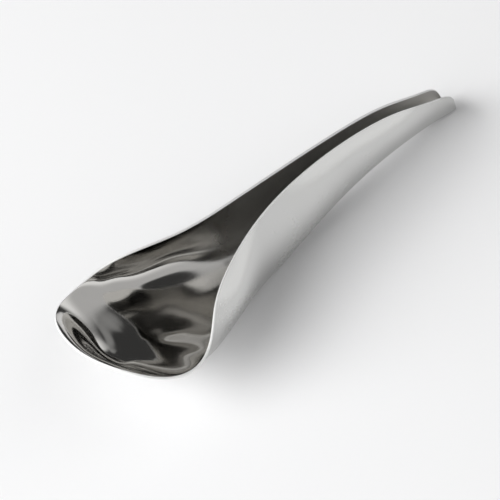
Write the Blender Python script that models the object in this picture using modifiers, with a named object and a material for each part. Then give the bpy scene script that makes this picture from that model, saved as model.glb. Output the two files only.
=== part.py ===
"""Tea bag spoon of stainless sheet: a dished bowl whose two sides sweep up and roll over
into an open horn. The slot between the rolled rims takes the string of the tea bag.

The spoon is one pressing. It is divided along the lines where the sheet flexes when the
handle is pinched: a bowl and a keel that stay still, and a cheek and a leaf on each side
that turn about the keel. Lengths are in metres and angles in degrees. X runs from the
bowl back to the tip, Z is up, and the keel rests on the floor at the origin.
"""

import math

import bmesh
import bpy
import numpy as np

SHEET_THICKNESS = 0.0007
PANEL_GAP = 0.0004

# Steps from one cross section of the sheet to the next, from the front lip to the tip.
LIP_TO_CORNER = 0.0036
CORNER_TO_FRONT = 0.0076
FRONT_TO_WIDEST = 0.0065
WIDEST_TO_REAR = 0.0061
REAR_TO_SHOULDER = 0.0067
SHOULDER_TO_THROAT = 0.0131
THROAT_TO_NECK = 0.0161
NECK_TO_CREST = 0.0186
CREST_TO_MIDDLE = 0.0199
MIDDLE_TO_BACK = 0.0198
BACK_TO_TIP = 0.017
TIP_TO_ROUND = 0.0064
ROUND_TO_END = 0.0016

# The keel touches the floor this far in front of the neck.
REST_TO_NECK = 0.0032

# Width across the opening, from rim to rim.
CORNER_WIDTH = 0.0286
FRONT_WIDTH = 0.0436
BOWL_WIDTH = 0.0464
REAR_WIDTH = 0.0432
SHOULDER_WIDTH = 0.034
THROAT_WIDTH = 0.0198
NECK_WIDTH = 0.0112
CREST_SLOT = 0.0066
MIDDLE_SLOT = 0.005
BACK_SLOT = 0.0054
TIP_SLOT = 0.0064
ROUND_SLOT = 0.0062
END_SLOT = 0.0054

# Height of the rim over the floor.
LIP_HEIGHT = 0.0177
CORNER_HEIGHT = 0.0165
FRONT_HEIGHT = 0.0133
BOWL_HEIGHT = 0.0128
REAR_HEIGHT = 0.015
SHOULDER_HEIGHT = 0.0181
THROAT_HEIGHT = 0.0198
NECK_HEIGHT = 0.0213
CREST_HEIGHT = 0.0216
MIDDLE_HEIGHT = 0.0199
BACK_HEIGHT = 0.0157
TIP_HEIGHT = 0.0093
ROUND_HEIGHT = 0.0059
END_HEIGHT = 0.0029

# Clearance of the keel over the floor.
BOWL_CLEARANCE = 0.006
REAR_CLEARANCE = 0.0042
SHOULDER_CLEARANCE = 0.0028
THROAT_CLEARANCE = 0.001
CREST_CLEARANCE = 0.0029
MIDDLE_CLEARANCE = 0.0046
BACK_CLEARANCE = 0.0043
TIP_CLEARANCE = 0.0012

# Half width of the floor beyond the flat of the keel, over which the sheet begins to rise.
LIP_FLOOR = 0.0009
CORNER_FLOOR = 0.0019
FRONT_FLOOR = 0.0009
BOWL_FLOOR = 0.0029
REAR_FLOOR = 0.0036
SHOULDER_FLOOR = 0.0048
THROAT_FLOOR = 0.0023
NECK_FLOOR = 0.0012
HANDLE_FLOOR = 0.001

# How far each side runs on from its floor before it turns up, which sets its belly.
LIP_REACH = 0.0069
CORNER_REACH = 0.0075
FRONT_REACH = 0.0096
BOWL_REACH = 0.0089
REAR_REACH = 0.0141
SHOULDER_REACH = 0.016
THROAT_REACH = 0.0135
NECK_REACH = 0.0118
CREST_REACH = 0.0089
MIDDLE_REACH = 0.0067
BACK_REACH = 0.0056
TIP_REACH = 0.0032
END_REACH = 0.003

# How far each rim runs down before its side turns in.
LIP_DROP = 0.0053
CORNER_DROP = 0.0059
FRONT_DROP = 0.0024
BOWL_DROP = 0.0022
REAR_DROP = 0.0062
SHOULDER_DROP = 0.0071
THROAT_DROP = 0.0116
NECK_DROP = 0.0075
CREST_DROP = 0.0079
MIDDLE_DROP = 0.0066
BACK_DROP = 0.0062
TIP_DROP = 0.0043
ROUND_DROP = 0.003
END_DROP = 0.0015

# Half width of the flat along the keel, under the bowl and under the handle.
BOWL_FLAT = 0.0008
HANDLE_FLAT = 0.0004

# In front of the widest section the cross sections fan out from the middle of the bowl.
FAN_TO_LIP = 0.0121
FAN_POWER = 1.2

# Share of the developed half section that stays with the keel, and the axis of its flexing.
KEEL_SHARE = 0.36
HINGE_HEIGHT = 0.003

# Each cross section: step back, width, rim height, clearance, share of the bowl's flat, floor,
# slope at the edge of the floor, reach, drop, and how far the rim leans in from upright.
SECTIONS = (
    (0.0, 0.0, LIP_HEIGHT, BOWL_CLEARANCE, 1.0, LIP_FLOOR, 12.0, LIP_REACH, LIP_DROP, -63.0),
    (LIP_TO_CORNER, CORNER_WIDTH, CORNER_HEIGHT, BOWL_CLEARANCE, 1.0)
    + (CORNER_FLOOR, 10.0, CORNER_REACH, CORNER_DROP, -65.0),
    (CORNER_TO_FRONT, FRONT_WIDTH, FRONT_HEIGHT, BOWL_CLEARANCE, 1.0)
    + (FRONT_FLOOR, 6.0, FRONT_REACH, FRONT_DROP, -52.0),
    (FRONT_TO_WIDEST, BOWL_WIDTH, BOWL_HEIGHT, BOWL_CLEARANCE, 1.0)
    + (BOWL_FLOOR, 5.0, BOWL_REACH, BOWL_DROP, -25.0),
    (WIDEST_TO_REAR, REAR_WIDTH, REAR_HEIGHT, REAR_CLEARANCE, 1.0)
    + (REAR_FLOOR, 11.0, REAR_REACH, REAR_DROP, 7.0),
    (REAR_TO_SHOULDER, SHOULDER_WIDTH, SHOULDER_HEIGHT, SHOULDER_CLEARANCE, 1.0)
    + (SHOULDER_FLOOR, 8.0, SHOULDER_REACH, SHOULDER_DROP, 32.0),
    (SHOULDER_TO_THROAT, THROAT_WIDTH, THROAT_HEIGHT, THROAT_CLEARANCE, 1.0)
    + (THROAT_FLOOR, 13.0, THROAT_REACH, THROAT_DROP, 47.0),
    (THROAT_TO_NECK, NECK_WIDTH, NECK_HEIGHT, 0.0, 1.0)
    + (NECK_FLOOR, 5.0, NECK_REACH, NECK_DROP, 24.0),
    (NECK_TO_CREST, CREST_SLOT, CREST_HEIGHT, CREST_CLEARANCE, 1.0)
    + (HANDLE_FLOOR, 0.0, CREST_REACH, CREST_DROP, 32.0),
    (CREST_TO_MIDDLE, MIDDLE_SLOT, MIDDLE_HEIGHT, MIDDLE_CLEARANCE, 0.5)
    + (HANDLE_FLOOR, 0.0, MIDDLE_REACH, MIDDLE_DROP, 42.0),
    (MIDDLE_TO_BACK, BACK_SLOT, BACK_HEIGHT, BACK_CLEARANCE, 0.0)
    + (HANDLE_FLOOR, 0.0, BACK_REACH, BACK_DROP, 41.0),
    (BACK_TO_TIP, TIP_SLOT, TIP_HEIGHT, TIP_CLEARANCE, 0.0)
    + (HANDLE_FLOOR, 1.0, TIP_REACH, TIP_DROP, 12.0),
    (TIP_TO_ROUND, ROUND_SLOT, ROUND_HEIGHT, 0.0, 0.0)
    + (HANDLE_FLOOR, 0.0, END_REACH, ROUND_DROP, 6.0),
    (ROUND_TO_END, END_SLOT, END_HEIGHT, 0.0, 0.0)
    + (HANDLE_FLOOR, 0.0, END_REACH, END_DROP, 2.0),
)
WIDEST = 3
SHOULDER = 5
NECK = 7

# Facets between one cross section and the next, and across each panel.
BOWL_STEPS = (8, 6, 4, 4, 5)
CHEEK_STEPS = (6, 7)
LEAF_STEPS = (7, 7, 7, 7, 4, 4)
BOWL_ACROSS = 15
KEEL_ACROSS = 6
SIDE_ACROSS = 10
CURVE_POINTS = 200


def clear_scene():
    for obj in list(bpy.data.objects):
        bpy.data.objects.remove(obj)


def steel(name, colour, roughness):
    material = bpy.data.materials.new(name)
    material.use_nodes = True
    shader = material.node_tree.nodes["Principled BSDF"]
    shader.inputs["Base Color"].default_value = (*colour, 1.0)
    shader.inputs["Metallic"].default_value = 1.0
    shader.inputs["Roughness"].default_value = roughness
    return material


def natural_spline(knots, values, at):
    """Natural cubic spline through the rows of values, read at the points of at."""
    gaps = np.diff(knots)
    count = len(knots)
    system = np.eye(count)
    bends = np.zeros_like(values)
    for i in range(1, count - 1):
        system[i, i - 1 : i + 2] = gaps[i - 1], 2 * (gaps[i - 1] + gaps[i]), gaps[i]
        rise = (values[i + 1] - values[i]) / gaps[i]
        bends[i] = 6 * (rise - (values[i] - values[i - 1]) / gaps[i - 1])
    bends = np.linalg.solve(system, bends)
    k = np.clip(np.searchsorted(knots, at) - 1, 0, count - 2)
    gap = gaps[k][:, None]
    after = (at - knots[k])[:, None]
    before = gap - after
    curved = (bends[k] * before**3 + bends[k + 1] * after**3) / (6 * gap)
    start = (values[k] / gap - bends[k] * gap / 6) * before
    return curved + start + (values[k + 1] / gap - bends[k + 1] * gap / 6) * after


class Sheet:
    """The outside of the sheet on the right, +Y, side of the spoon."""

    def __init__(self):
        rows = np.array(SECTIONS)
        rows[:, 0] = np.cumsum(rows[:, 0])
        rows[:, 0] -= rows[NECK, 0] - REST_TO_NECK
        self.lip = rows[0, 0]
        self.widest = rows[WIDEST, 0]
        rows[:, 1] /= 2
        steps = np.linalg.norm(np.diff(rows[:, :3], axis=0), axis=1)
        self.knots = np.concatenate([[0.0], np.cumsum(steps)])
        # The rim carries on round the lip to the other side, so the spline does too.
        across = rows[:0:-1].copy()
        across[:, 1] *= -1
        self.all_knots = np.concatenate([-self.knots[:0:-1], self.knots])
        self.all_rows = np.concatenate([across, rows])

    def rows(self, at):
        return natural_spline(self.all_knots, self.all_rows, np.asarray(at, float))

    def shifted(self, section, distance):
        """Where the sheet is this far behind one of its cross sections."""
        near = np.linspace(self.knots[section - 1], self.knots[section + 1], 400)
        behind = self.rows(near)[:, 0] - self.all_rows[len(self.knots) - 1 + section, 0]
        return float(np.interp(distance, behind, near))

    def between(self, first, last, start, end, steps):
        """Rows from start to end, with the given number of steps between cross sections."""
        ends = [start, *self.knots[first + 1 : last], end]
        parts = [np.linspace(a, b, n, endpoint=False) for a, b, n in zip(ends, ends[1:], steps)]
        return np.concatenate([*parts, [end]])

    def section(self, row):
        """The half width of the flat, and points close together from the keel to the rim."""
        x, half, height, clearance, share, floor, slope, reach, drop, lean = row
        flat = HANDLE_FLAT + (BOWL_FLAT - HANDLE_FLAT) * min(max(share, 0.0), 1.0)
        ahead = max(0.0, (self.widest - x) / (self.widest - self.lip))
        foot = np.array([x + FAN_TO_LIP * ahead**FAN_POWER, 0.0, max(clearance, 0.0)])
        rim = np.array([x, half, height])
        out = (rim - foot) * (1.0, 1.0, 0.0)
        out /= np.linalg.norm(out)
        up = np.array([0.0, 0.0, 1.0])
        slope = math.radians(max(slope, 0.0))
        lean = math.radians(lean)
        t = np.linspace(0.0, 1.0, CURVE_POINTS)[:, None]
        s = 1 - t
        lift = floor * math.tan(slope) / 2
        ground = foot + (flat + floor * t) * out + lift * t * t * up
        heel = ground[-1]
        low = heel + reach * (math.cos(slope) * out + math.sin(slope) * up)
        high = rim - drop * (math.cos(lean) * up - math.sin(lean) * out)
        side = s**3 * heel + 3 * s * s * t * low + 3 * s * t * t * high + t**3 * rim
        return flat, np.concatenate([[foot], ground, side[1:]])

    def grid(self, at, across, inner, outer):
        """A grid of points: one line for each row, and on it the inner to outer share of its
        developed length, each end drawn in by its own gap. A line from the keel has one facet
        for the flat."""
        lines = []
        for row in self.rows(at):
            flat, points = self.section(row)
            steps = np.linalg.norm(np.diff(points, axis=0), axis=1)
            run = np.concatenate([[0.0], np.cumsum(steps)])
            start = inner[0] * run[-1] + inner[1]
            end = outer[0] * run[-1] - outer[1]
            want = np.linspace(start, end, across + 1)
            if start == 0.0:
                want[1:] = np.linspace(flat, end, across)
            lines.append([[np.interp(w, run, points[:, k]) for k in range(3)] for w in want])
        return np.array(lines)


def panel(name, grid, origin, collection, materials, side=1, mirrored=False):
    """One panel of the sheet: the grid is its outside, and the thickness goes inwards."""
    points = (grid - np.array(origin)) * (1, side, 1)
    mesh = bpy.data.meshes.new(name)
    bm = bmesh.new()
    verts = [[bm.verts.new(point) for point in line] for line in points]
    for a, b in zip(verts, verts[1:]):
        for i in range(len(a) - 1):
            corners = (a[i], b[i], b[i + 1], a[i + 1])
            bm.faces.new(corners if side < 0 else corners[::-1])
    for face in bm.faces:
        face.smooth = True
    bm.to_mesh(mesh)
    bm.free()
    obj = bpy.data.objects.new(name, mesh)
    obj.location = origin
    collection.objects.link(obj)
    for material in materials:
        mesh.materials.append(material)
    if mirrored:
        mirror = obj.modifiers.new("both_sides", "MIRROR")
        mirror.use_axis = (False, True, False)
        mirror.merge_threshold = 1e-5
    shell = obj.modifiers.new("sheet", "SOLIDIFY")
    shell.thickness = SHEET_THICKNESS
    shell.offset = -1.0
    shell.use_even_offset = True
    shell.use_quality_normals = True
    shell.material_offset = 1
    shell.material_offset_rim = 2
    return obj


def build():
    clear_scene()
    collection = bpy.data.collections.new("tea_bag_spoon")
    bpy.context.scene.collection.children.link(collection)
    materials = (
        steel("satin_outside", (0.62, 0.62, 0.61), 0.38),
        steel("mirror_inside", (0.58, 0.57, 0.55), 0.06),
        steel("cut_edge", (0.72, 0.72, 0.71), 0.2),
    )
    sheet = Sheet()
    half_gap = PANEL_GAP / 2
    last = len(SECTIONS) - 1
    bowl_end = sheet.shifted(SHOULDER, -half_gap)
    cheek_start = sheet.shifted(SHOULDER, half_gap)
    cheek_end = sheet.shifted(NECK, -half_gap)
    leaf_start = sheet.shifted(NECK, half_gap)
    tip_end = sheet.knots[last]

    bowl_rows = sheet.between(0, SHOULDER, 0.0, bowl_end, BOWL_STEPS)
    cheek_rows = sheet.between(SHOULDER, NECK, cheek_start, cheek_end, CHEEK_STEPS)
    leaf_rows = sheet.between(NECK, last, leaf_start, tip_end, LEAF_STEPS)
    keel_rows = sheet.between(SHOULDER, last, cheek_start, tip_end, CHEEK_STEPS + LEAF_STEPS)

    keel_line = (0.0, 0.0)
    rim_line = (1.0, 0.0)
    seam = (KEEL_SHARE, half_gap)
    bowl = sheet.grid(bowl_rows, BOWL_ACROSS, keel_line, rim_line)
    panel("bowl", bowl, (0.0, 0.0, 0.0), collection, materials, mirrored=True)
    keel = sheet.grid(keel_rows, KEEL_ACROSS, keel_line, seam)
    panel("keel", keel, (0.0, 0.0, 0.0), collection, materials, mirrored=True)

    for kind, rows in (("cheek", cheek_rows), ("leaf", leaf_rows)):
        grid = sheet.grid(rows, SIDE_ACROSS, seam, rim_line)
        hinge = (float(grid[0, 0, 0]), 0.0, HINGE_HEIGHT)
        panel("right_" + kind, grid, hinge, collection, materials)
        panel("left_" + kind, grid, hinge, collection, materials, side=-1)


build()
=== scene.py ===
"""Tea bag spoon of stainless sheet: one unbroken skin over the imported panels, satin outside and
polished inside, on a pale floor. Lengths are in metres and angles in degrees. X runs from the
bowl back to the tip, Z is up, and the left half of the sheet is on the -Y side.
"""
import math

import bmesh
import bpy
import numpy as np
from mathutils import Matrix, Vector


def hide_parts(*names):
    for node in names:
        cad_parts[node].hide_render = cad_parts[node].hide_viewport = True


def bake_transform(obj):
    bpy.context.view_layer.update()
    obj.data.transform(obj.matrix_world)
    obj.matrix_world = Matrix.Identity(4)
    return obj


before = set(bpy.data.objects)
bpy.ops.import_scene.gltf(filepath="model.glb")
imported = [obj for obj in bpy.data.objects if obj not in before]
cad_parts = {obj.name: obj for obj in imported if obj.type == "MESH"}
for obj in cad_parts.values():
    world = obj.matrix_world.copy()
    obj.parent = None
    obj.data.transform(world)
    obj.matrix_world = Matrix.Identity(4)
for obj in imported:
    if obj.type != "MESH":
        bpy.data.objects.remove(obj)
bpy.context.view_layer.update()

SHEET_THICKNESS = 0.0007
EDGE_ROUND = 0.00018
EDGE_SEGMENTS = 3

# The cross sections of the sheet from the front lip to the tip: step back from the one before,
# width across the rims, rim height, keel clearance, how far its flat is the bowl's and not the
# handle's, half width of the floor, slope at its edge, reach of the side before it turns up, drop
# of the rim before its side turns in, and lean of the rim in from upright.
SECTIONS = (
    (0.0, 0.0, 0.0177, 0.006, 1.0, 0.0009, 12.0, 0.0069, 0.0053, -63.0),
    (0.0036, 0.0286, 0.0165, 0.006, 1.0, 0.0019, 10.0, 0.0075, 0.0059, -65.0),
    (0.0076, 0.0436, 0.0133, 0.006, 1.0, 0.0009, 6.0, 0.0096, 0.0024, -52.0),
    (0.0065, 0.0464, 0.0128, 0.006, 1.0, 0.0029, 5.0, 0.0089, 0.0022, -25.0),
    (0.0061, 0.0432, 0.015, 0.0042, 1.0, 0.0036, 11.0, 0.0141, 0.0062, 7.0),
    (0.0067, 0.034, 0.0181, 0.0028, 1.0, 0.0048, 8.0, 0.016, 0.0071, 32.0),
    (0.0131, 0.0198, 0.0198, 0.001, 1.0, 0.0023, 13.0, 0.0135, 0.0116, 47.0),
    (0.0161, 0.0112, 0.0213, 0.0, 1.0, 0.0012, 5.0, 0.0118, 0.0075, 24.0),
    (0.0186, 0.0066, 0.0216, 0.0029, 1.0, 0.001, 0.0, 0.0089, 0.0079, 32.0),
    (0.0199, 0.005, 0.0199, 0.0046, 0.5, 0.001, 0.0, 0.0067, 0.0066, 42.0),
    (0.0198, 0.0054, 0.0157, 0.0043, 0.0, 0.001, 0.0, 0.0056, 0.0062, 41.0),
    (0.017, 0.0064, 0.0093, 0.0012, 0.0, 0.001, 1.0, 0.0032, 0.0043, 12.0),
    (0.0064, 0.0062, 0.0059, 0.0, 0.0, 0.001, 0.0, 0.003, 0.003, 6.0),
    (0.0016, 0.0054, 0.0029, 0.0, 0.0, 0.001, 0.0, 0.003, 0.0015, 2.0),
)
WIDEST = 3
NECK = 7
REST_TO_NECK = 0.0032
BOWL_FLAT = 0.0008
HANDLE_FLAT = 0.0004

# In front of the widest section the sections fan out from the keel towards the lip.
FAN_TO_LIP = 0.0121
FAN_POWER = 1.2

ROWS_ALONG = 260
ROWS_ACROSS = 56
CURVE_POINTS = 300
ON_THE_MIDDLE = 1e-6

# The finishes of each half of the sheet, in the order of its material slots.
OUTSIDE, INSIDE, EDGE = range(3)

SATIN_DARK = (0.605, 0.605, 0.595)
SATIN_LIGHT = (0.635, 0.635, 0.625)
SATIN_ROUGHNESS = 0.22
SATIN_GRAIN_DEPTH = 0.000002

# The polish inside turns duller from the first to the second of these places along the spoon.
DULL_FROM = -0.022
DULL_TO = 0.02
POLISH = (0.60, 0.59, 0.57)
DULL_POLISH = (0.71, 0.70, 0.68)
POLISH_ROUGHNESS = 0.07
DULL_ROUGHNESS = 0.3
POLISH_WAVE_DEPTH = 0.00008
SMUDGES_FROM = 0.52
SMUDGES_TO = 0.75

# The cut edge is pale and partly matt, a painted highlight along the rim that the lamp lights in
# place of its reflection; the two tones are its drag lines.
EDGE_DARK = (0.78, 0.78, 0.77)
EDGE_LIGHT = (0.86, 0.86, 0.85)
EDGE_ROUGHNESS = 0.38
EDGE_LINE_DEPTH = 0.000005

PAPER_DARK = (0.895, 0.895, 0.90)
PAPER_LIGHT = (0.905, 0.905, 0.91)
PAPER_ROUGHNESS = 0.85

# The studio: a dark room with one pale wall that reaches round the right of the spoon, and a
# wide soft lamp low on the left, like a window.
ROOM_LIGHT = 0.05
WALL_FROM = -107.0
WALL_TO = 13.6
WALL_SOFT = 4.0
WALL_TOP = 59.0
WALL_TOP_SOFT = 1.5
WALL_LIGHT = 1.0
WALL_FADE = 0.45
WALL_FADE_FROM = 18.0
WALL_FADE_TO = 46.0
LAMP_AZIMUTH = 160.0
LAMP_ELEVATION = 25.0
LAMP_DISTANCE = 2.4
LAMP_WIDTH = 3.0
LAMP_HEIGHT = 1.56
LAMP_POWER = 119.0

# Dim soft panels that show in the polish in place of the lamp: azimuth, elevation, radius of the
# even middle, radius of the whole and light.
SOFT_PANELS = (
    (150.0, 42.0, 4.0, 36.0, 1.0),
    (24.0, 50.0, 1.0, 9.0, 0.25),
)

FLOOR_HALF = 3.0
FLOOR_SEGMENTS = 8

CAMERA_PLACE = (-0.169, -0.2158, 0.2629)
CAMERA_AIM = (0.0065, 0.006, 0.0)
CAMERA_ROLL = -11.2
CAMERA_LENS = 100.8
CAMERA_SENSOR = 36.0
CAMERA_NEAR = 0.01


def natural_spline(knots, values, at):
    """Natural cubic spline through the rows of values, read at the points of at."""
    gaps = np.diff(knots)
    count = len(knots)
    system = np.eye(count)
    bends = np.zeros_like(values)
    for i in range(1, count - 1):
        system[i, i - 1 : i + 2] = gaps[i - 1], 2 * (gaps[i - 1] + gaps[i]), gaps[i]
        rise = (values[i + 1] - values[i]) / gaps[i]
        bends[i] = 6 * (rise - (values[i] - values[i - 1]) / gaps[i - 1])
    bends = np.linalg.solve(system, bends)
    k = np.clip(np.searchsorted(knots, at) - 1, 0, count - 2)
    gap = gaps[k][:, None]
    after = (at - knots[k])[:, None]
    before = gap - after
    curved = (bends[k] * before**3 + bends[k + 1] * after**3) / (6 * gap)
    start = (values[k] / gap - bends[k] * gap / 6) * before
    return curved + start + (values[k + 1] / gap - bends[k + 1] * gap / 6) * after


def sheet_sections():
    """The cross sections on the +Y side, with x from the rest on the keel and half widths."""
    rows = np.array(SECTIONS)
    rows[:, 0] = np.cumsum(rows[:, 0])
    rows[:, 0] -= rows[NECK, 0] - REST_TO_NECK
    rows[:, 1] /= 2
    return rows


def sheet_rows(sections):
    """The cross sections read close together, from the lip to the tip on the +Y side."""
    steps = np.linalg.norm(np.diff(sections[:, :3], axis=0), axis=1)
    knots = np.concatenate([[0.0], np.cumsum(steps)])
    across = sections[:0:-1].copy()
    across[:, 1] *= -1
    all_knots = np.concatenate([-knots[:0:-1], knots])
    all_rows = np.concatenate([across, sections])
    return natural_spline(all_knots, all_rows, np.linspace(0.0, knots[-1], ROWS_ALONG + 1))


def cross_section(row, lip, widest):
    """Points along one cross section of the outside, evenly spaced from the keel to the rim."""
    x, half, height, clearance, share, floor, slope, reach, drop, lean = row
    flat = HANDLE_FLAT + (BOWL_FLAT - HANDLE_FLAT) * min(max(share, 0.0), 1.0)
    ahead = max(0.0, (widest - x) / (widest - lip))
    foot = np.array([x + FAN_TO_LIP * ahead**FAN_POWER, 0.0, max(clearance, 0.0)])
    rim = np.array([x, half, height])
    out = (rim - foot) * (1.0, 1.0, 0.0)
    out /= np.linalg.norm(out)
    up = np.array([0.0, 0.0, 1.0])
    slope = math.radians(max(slope, 0.0))
    lean = math.radians(lean)
    t = np.linspace(0.0, 1.0, CURVE_POINTS)[:, None]
    s = 1 - t
    ground = foot + (flat + floor * t) * out + floor * math.tan(slope) / 2 * t * t * up
    heel = ground[-1]
    low = heel + reach * (math.cos(slope) * out + math.sin(slope) * up)
    high = rim - drop * (math.cos(lean) * up - math.sin(lean) * out)
    side = s**3 * heel + 3 * s * s * t * low + 3 * s * t * t * high + t**3 * rim
    points = np.concatenate([[foot], ground, side[1:]])
    run = np.concatenate([[0.0], np.cumsum(np.linalg.norm(np.diff(points, axis=0), axis=1))])
    want = np.linspace(0.0, run[-1], ROWS_ACROSS + 1)
    return np.stack([np.interp(want, run, points[:, k]) for k in range(3)], axis=1)


def outside_surface(side):
    """The outside of one half of the sheet, a row of points for each cross section."""
    sections = sheet_sections()
    rows = sheet_rows(sections)
    lip = rows[0, 0]
    widest = sections[WIDEST, 0]
    surface = np.array([cross_section(row, lip, widest) for row in rows])
    surface[:, :, 1] *= side
    surface[0, :, 1] = 0.0
    return surface


def on_the_middle(vert):
    """Whether a vertex lies on the middle plane of the spoon."""
    return abs(vert.co.y) < ON_THE_MIDDLE


def new_piece(name, bm, finishes):
    """A piece with the shape of the bmesh, which is freed, and the given finishes."""
    mesh = bpy.data.meshes.new(name)
    bm.to_mesh(mesh)
    bm.free()
    for finish in finishes:
        mesh.materials.append(finish)
    piece = bpy.data.objects.new(name, mesh)
    bpy.context.scene.collection.objects.link(piece)
    return piece


def steady_normals(mesh):
    """The broad faces set the shading up to the rounded edges and across the middle plane."""
    sums = np.zeros((len(mesh.vertices), 3))
    for face in mesh.polygons:
        if face.material_index != EDGE:
            for vert in face.vertices:
                sums[vert] += np.array(face.normal) * face.area
    for vert in mesh.vertices:
        if on_the_middle(vert):
            sums[vert.index, 1] = 0.0
    lengths = np.linalg.norm(sums, axis=1, keepdims=True)
    normals = np.divide(sums, lengths, out=np.zeros_like(sums), where=lengths > 0)
    mesh.normals_split_custom_set_from_vertices(normals.tolist())


def half_sheet(name, side, finishes):
    """One half of the sheet, closed along the middle plane, with rounded edges."""
    surface = outside_surface(side)
    bm = bmesh.new()
    bmesh.ops.create_grid(bm, x_segments=ROWS_ALONG, y_segments=ROWS_ACROSS, size=1.0)
    for vert in bm.verts:
        i = round((vert.co.x + 1) / 2 * ROWS_ALONG)
        j = round((vert.co.y + 1) / 2 * ROWS_ACROSS)
        vert.co = surface[i, j]
    if side > 0:
        bmesh.ops.reverse_faces(bm, faces=bm.faces[:])
    bm.normal_update()
    skin = set(bm.faces)
    made = bmesh.ops.solidify(bm, geom=bm.faces[:], thickness=SHEET_THICKNESS)["geom"]
    lining = {item for item in made if isinstance(item, bmesh.types.BMFace)}
    seam = set()
    for face in bm.faces:
        face.smooth = True
        face.material_index = OUTSIDE if face in skin else INSIDE if face in lining else EDGE
        if face.material_index == EDGE and sum(map(on_the_middle, face.verts)) > 1:
            seam.add(face)
    for face in seam:
        for vert in face.verts:
            vert.co.y = 0.0
    rims = {face for face in bm.faces if face.material_index == EDGE and face not in seam}
    corners = {edge for face in rims for edge in face.edges if set(edge.link_faces) - rims - seam}
    rounded = bmesh.ops.bevel(
        bm,
        geom=list(corners),
        offset=EDGE_ROUND,
        offset_type="OFFSET",
        segments=EDGE_SEGMENTS,
        profile=0.5,
        affect="EDGES",
        material=-1,
    )
    for face in rounded["faces"]:
        face.material_index = EDGE
        face.smooth = True
    piece = new_piece(name, bm, finishes)
    steady_normals(piece.data)
    return piece


class Signal:
    """An output socket of a node tree. Arithmetic on it adds Math nodes to the tree."""

    def __init__(self, socket):
        self.socket = socket

    def node(self, kind, settings=None, values=None, out=0):
        """Another node of the tree: its settings first, then the values or links of its sockets."""
        node = self.socket.id_data.nodes.new(kind)
        for name, value in (settings or {}).items():
            setattr(node, name, value)
        for name, value in (values or {}).items():
            feed(node.inputs[name], value)
        return Signal(node.outputs[out])

    def math(self, operation, *values):
        return self.node("ShaderNodeMath", {"operation": operation}, dict(enumerate(values)))

    def __add__(self, other):
        return self.math("ADD", self, other)

    def __rsub__(self, other):
        return self.math("SUBTRACT", other, self)

    def __mul__(self, other):
        return self.math("MULTIPLY", self, other)

    def __truediv__(self, other):
        return self.math("DIVIDE", self, other)

    def __pow__(self, other):
        return self.math("POWER", self, other)

    __radd__ = __add__
    __rmul__ = __mul__

    def axes(self):
        """The x, y and z of this place or direction."""
        split = self.node("ShaderNodeSeparateXYZ", values={"Vector": self})
        return [Signal(socket) for socket in split.socket.node.outputs]

    def between(self, low, high):
        """0 below low, 1 above high and smooth between; the other way round if low is higher."""
        values = {"Value": self, "From Min": low, "From Max": high}
        return self.node("ShaderNodeMapRange", {"interpolation_type": "SMOOTHSTEP"}, values)

    def drawn_out(self, share):
        """This place with x on a smaller scale, which draws a pattern out along the spoon."""
        values = {0: self, 1: (share, 1.0, 1.0)}
        return self.node("ShaderNodeVectorMath", {"operation": "MULTIPLY"}, values)

    def noise(self, scale, detail=2.0):
        """Soft noise over this place, about 0.5 in the middle."""
        values = {"Vector": self, "Scale": scale, "Detail": detail}
        return self.node("ShaderNodeTexNoise", None, values)

    def mix(self, first, second):
        """From the first colour to the second as this goes from 0 to 1."""
        values = {0: self, 6: (*first, 1.0), 7: (*second, 1.0)}
        return self.node("ShaderNodeMix", {"data_type": "RGBA"}, values, out=2)

    def bump(self, depth):
        """The normal of a surface with this relief, which is depth high from 0 to 1."""
        return self.node("ShaderNodeBump", None, {"Height": self, "Distance": depth})


def feed(socket, value):
    """Links a signal to a socket, or sets a plain value on it."""
    if isinstance(value, Signal):
        socket.id_data.links.new(value.socket, socket)
    else:
        socket.default_value = value


def new_finish(name, **constants):
    """A material with the given constants on its shader, its shader and the place on the piece."""
    material = bpy.data.materials.new(name)
    material.use_nodes = True
    nodes = material.node_tree.nodes
    shader = nodes["Principled BSDF"]
    for socket, value in constants.items():
        shader.inputs[socket.replace("_", " ")].default_value = value
    return material, shader, Signal(nodes.new("ShaderNodeTexCoord").outputs["Object"])


def satin_outside():
    """Fine satin grain, a little uneven from the rolling of the sheet."""
    material, shader, place = new_finish("satin_outside", Metallic=1.0)
    cloud = place.noise(scale=70.0)
    grain = place.drawn_out(0.35).noise(scale=2600.0)
    feed(shader.inputs["Base Color"], cloud.mix(SATIN_DARK, SATIN_LIGHT))
    feed(shader.inputs["Roughness"], SATIN_ROUGHNESS + 0.05 * cloud + 0.04 * grain)
    feed(shader.inputs["Normal"], grain.bump(SATIN_GRAIN_DEPTH))
    return material


def mirror_inside():
    """Polished bowl that turns duller inside the handle: slow waves of the pressing, faint lines
    of the wheel along the spoon and a few smudges."""
    material, shader, place = new_finish("mirror_inside", Metallic=1.0)
    along = place.axes()[0]
    dull = along.between(DULL_FROM, DULL_TO)
    waves = place.noise(scale=60.0, detail=1.0)
    lines = place.drawn_out(0.04).noise(scale=1400.0)
    smudges = place.noise(scale=160.0).between(SMUDGES_FROM, SMUDGES_TO)
    tone = dull + 0.15 * smudges
    uneven = POLISH_ROUGHNESS + 0.04 * lines + 0.04 * smudges
    feed(shader.inputs["Base Color"], tone.mix(POLISH, DULL_POLISH))
    feed(shader.inputs["Roughness"], uneven + DULL_ROUGHNESS * dull)
    feed(shader.inputs["Normal"], (waves + 0.03 * lines).bump(POLISH_WAVE_DEPTH))
    return material


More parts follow.
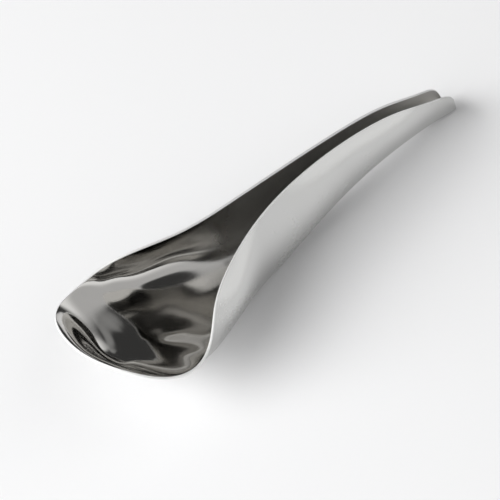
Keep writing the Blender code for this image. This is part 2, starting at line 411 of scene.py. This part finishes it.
def edge_with_painted_highlight():
    """The cut edge of the sheet, rounded, with drag lines along it. Its pale, partly matt colour is
    a painted highlight: the lamp lights it diffusely in place of the lamp's reflection along the
    rim, which the polish doesn't show.
    """
    # Partly matt, so that the lamp paints a highlight along the rim.
    material, shader, place = new_finish("edge_with_painted_highlight", Metallic=0.35)
    lines = place.drawn_out(0.2).noise(scale=1800.0)
    feed(shader.inputs["Base Color"], lines.mix(EDGE_DARK, EDGE_LIGHT))
    feed(shader.inputs["Roughness"], EDGE_ROUGHNESS + 0.14 * lines)
    feed(shader.inputs["Normal"], lines.bump(EDGE_LINE_DEPTH))
    return material


def pale_paper():
    """The floor of the studio, a smooth pale paper with a faint tooth."""
    material, shader, place = new_finish("pale_paper", Specular_IOR_Level=0.1)
    tooth = place.noise(scale=900.0)
    feed(shader.inputs["Base Color"], tooth.mix(PAPER_DARK, PAPER_LIGHT))
    feed(shader.inputs["Roughness"], PAPER_ROUGHNESS + 0.1 * tooth)
    return material


def direction(azimuth, elevation):
    """The way out from the spoon at an azimuth from +X and an elevation over the floor."""
    azimuth, elevation = math.radians(azimuth), math.radians(elevation)
    level = math.cos(elevation)
    return Vector((level * math.cos(azimuth), level * math.sin(azimuth), math.sin(elevation)))


def studio_room():
    """A dark room with one broad pale wall, dimmer towards its top, and the soft panels."""
    world = bpy.data.worlds.new("studio")
    bpy.context.scene.world = world
    world.use_nodes = True
    background = world.node_tree.nodes["Background"]
    way = Signal(world.node_tree.nodes.new("ShaderNodeTexCoord").outputs["Generated"])
    x, y, z = way.axes()
    middle = direction((WALL_FROM + WALL_TO) / 2, 0.0)
    turn = (x * middle.x + y * middle.y) / (x * x + y * y) ** 0.5
    half = (WALL_TO - WALL_FROM) / 2
    outside, inside = (math.cos(math.radians(half + s)) for s in (WALL_SOFT, -WALL_SOFT))
    top_soft = WALL_TOP_SOFT, -WALL_TOP_SOFT
    above, below = (math.sin(math.radians(WALL_TOP + s)) for s in top_soft)
    fade_from, fade_to = (math.sin(math.radians(e)) for e in (WALL_FADE_FROM, WALL_FADE_TO))
    level = WALL_LIGHT * (1 - WALL_FADE * z.between(fade_from, fade_to))
    wall = turn.between(outside, inside) * z.between(above, below) * level
    light = wall + ROOM_LIGHT
    for azimuth, elevation, inner, outer, strength in SOFT_PANELS:
        panel = direction(azimuth, elevation)
        facing = x * panel.x + y * panel.y + z * panel.z
        outer, inner = (math.cos(math.radians(radius)) for radius in (outer, inner))
        light = light + strength * facing.between(outer, inner)
    background.inputs["Color"].default_value = (1.0, 1.0, 1.0, 1.0)
    feed(background.inputs["Strength"], light)


def studio_lamp():
    """A wide soft lamp that faces the middle of the spoon and doesn't show in its polish."""
    way = direction(LAMP_AZIMUTH, LAMP_ELEVATION)
    light = bpy.data.lights.new("soft_lamp", "AREA")
    light.shape = "RECTANGLE"
    light.size = LAMP_WIDTH
    light.size_y = LAMP_HEIGHT
    light.energy = LAMP_POWER
    lamp = bpy.data.objects.new("soft_lamp", light)
    lamp.location = way * LAMP_DISTANCE
    lamp.rotation_euler = way.to_track_quat("Z", "Y").to_euler()
    lamp.visible_glossy = False
    bpy.context.scene.collection.objects.link(lamp)


def studio_floor():
    """The pale paper that the spoon lies on."""
    bm = bmesh.new()
    bmesh.ops.create_grid(
        bm, x_segments=FLOOR_SEGMENTS, y_segments=FLOOR_SEGMENTS, size=FLOOR_HALF
    )
    floor = new_piece("floor", bm, [pale_paper()])


def studio_camera():
    """The camera over the left of the bowl, turned a little from level."""
    data = bpy.data.cameras.new("camera")
    data.lens = CAMERA_LENS
    data.sensor_width = CAMERA_SENSOR
    data.clip_start = CAMERA_NEAR
    camera = bpy.data.objects.new("camera", data)
    place = Vector(CAMERA_PLACE)
    ahead = (Vector(CAMERA_AIM) - place).normalized()
    level = ahead.cross(Vector((0.0, 0.0, 1.0))).normalized()
    roll = math.radians(CAMERA_ROLL)
    right = level * math.cos(roll) + level.cross(ahead) * math.sin(roll)
    turn = Matrix((right, right.cross(ahead), -ahead)).transposed()
    camera.matrix_world = Matrix.Translation(place) @ turn.to_4x4()
    bpy.context.scene.collection.objects.link(camera)
    bpy.context.scene.camera = camera
    bpy.context.scene.view_settings.view_transform = "Standard"


def bend_with_leaf(piece):
    """Bakes the placement of the piece into its mesh; the sheet is not bent."""
    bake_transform(piece)


finishes = satin_outside(), mirror_inside(), edge_with_painted_highlight()
left_half = half_sheet("left_half", -1, finishes)
right_half = half_sheet("right_half", 1, finishes)
bend_with_leaf(left_half)
bend_with_leaf(right_half)
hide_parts("bowl", "left_cheek", "left_leaf")
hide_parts("keel", "right_cheek", "right_leaf")

studio_room()
studio_lamp()
studio_floor()
studio_camera()
